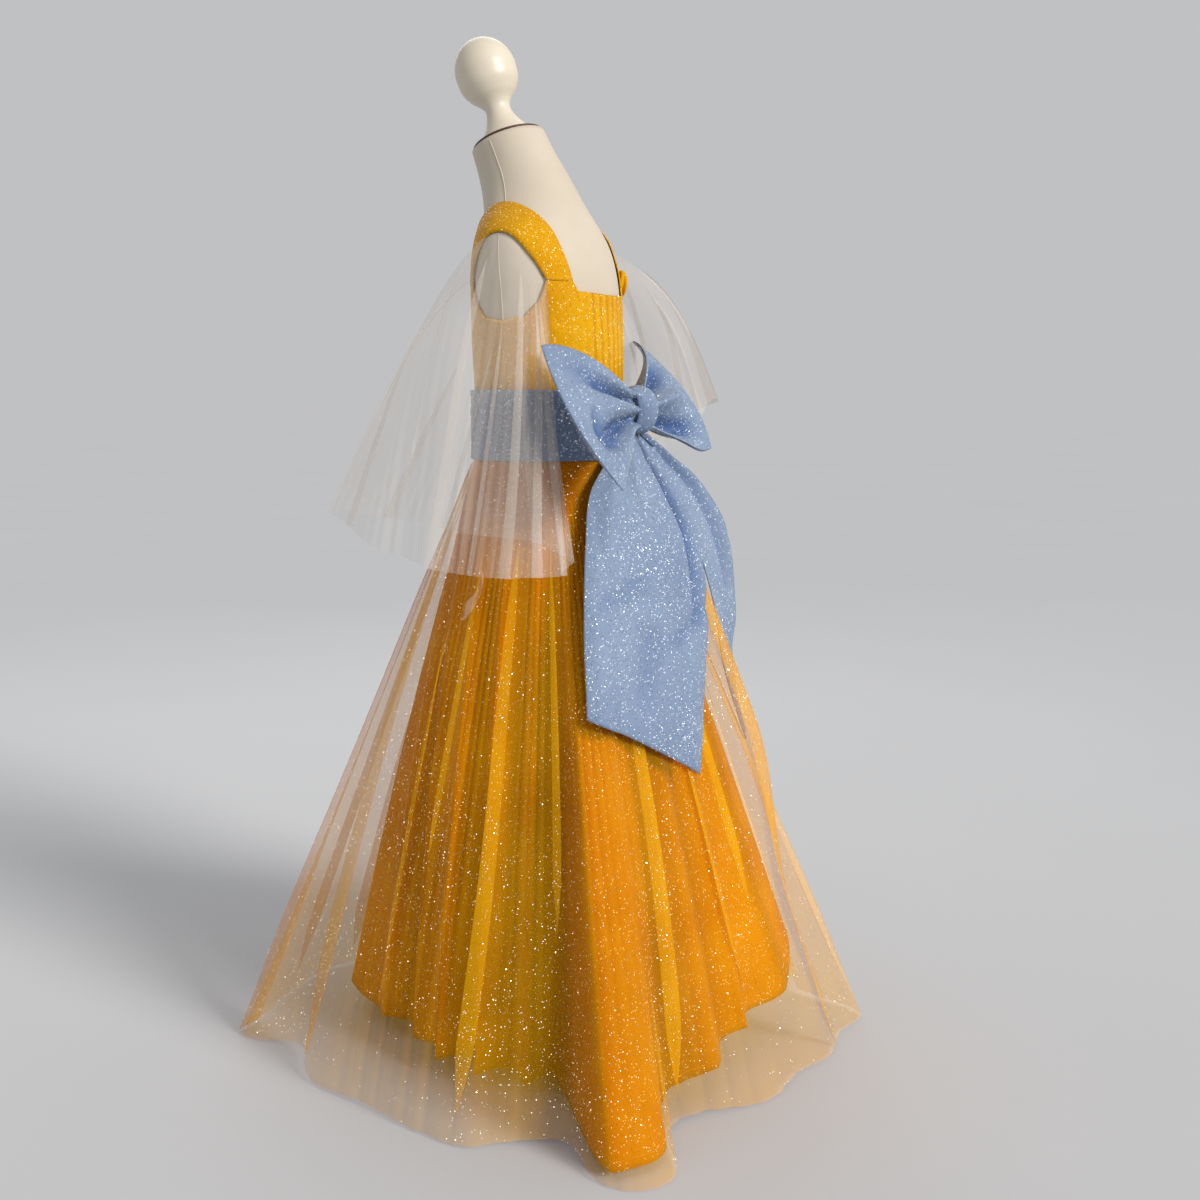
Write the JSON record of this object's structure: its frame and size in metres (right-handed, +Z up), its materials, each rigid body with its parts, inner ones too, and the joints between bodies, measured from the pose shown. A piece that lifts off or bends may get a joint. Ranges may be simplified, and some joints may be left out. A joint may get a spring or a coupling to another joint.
{
  "type": "ball gown on a dress form",
  "caption": "Child's ball gown with a fitted bodice, sheer bell sleeves, waist sash with a large back bow, satin skirt and sheer overskirt, worn by a limbless dress form on a round base.",
  "frame": {"origin": "on the floor, at the middle of the round base's underside", "axes": "+Z up; the gown faces -Y, its bow is towards +Y and the wearer's left is towards +X"},
  "size_m": [0.6592, 0.6795, 1.1635],
  "materials": {
    "gold_satin": "satin with fine glitter",
    "gold_tulle": "sheer net with glitter",
    "pale_tulle": "sheer plain net",
    "blue_satin": "satin with fine glitter",
    "form_jersey": "stretched jersey",
    "cap_paint": "smooth satin paint",
    "stand_paint": "satin"
  },
  "bodies": {
    "root": {"stand_base": "stand_paint", "stand_pole": "stand_paint", "form_torso": "form_jersey", "form_neck_cap": "cap_paint", "bodice_front": "gold_satin", "bodice_back": "gold_satin", "strap_left": "gold_satin", "strap_right": "gold_satin", "sash_band": "blue_satin", "bow_knot": "blue_satin", "bow_loop_left": "blue_satin", "bow_loop_right": "blue_satin", "bow_tail_left": "blue_satin", "bow_tail_right": "blue_satin", "sleeve_left": "pale_tulle", "sleeve_right": "pale_tulle", "satin_gore_1": "gold_satin", "tulle_panel_1": "gold_tulle", "satin_gore_2": "gold_satin", "tulle_panel_2": "gold_tulle", "satin_gore_3": "gold_satin", "tulle_panel_3": "gold_tulle", "satin_gore_4": "gold_satin", "tulle_panel_4": "gold_tulle", "satin_gore_5": "gold_satin", "tulle_panel_5": "gold_tulle", "satin_gore_6": "gold_satin", "tulle_panel_6": "gold_tulle"}
  },
  "joints": []
}
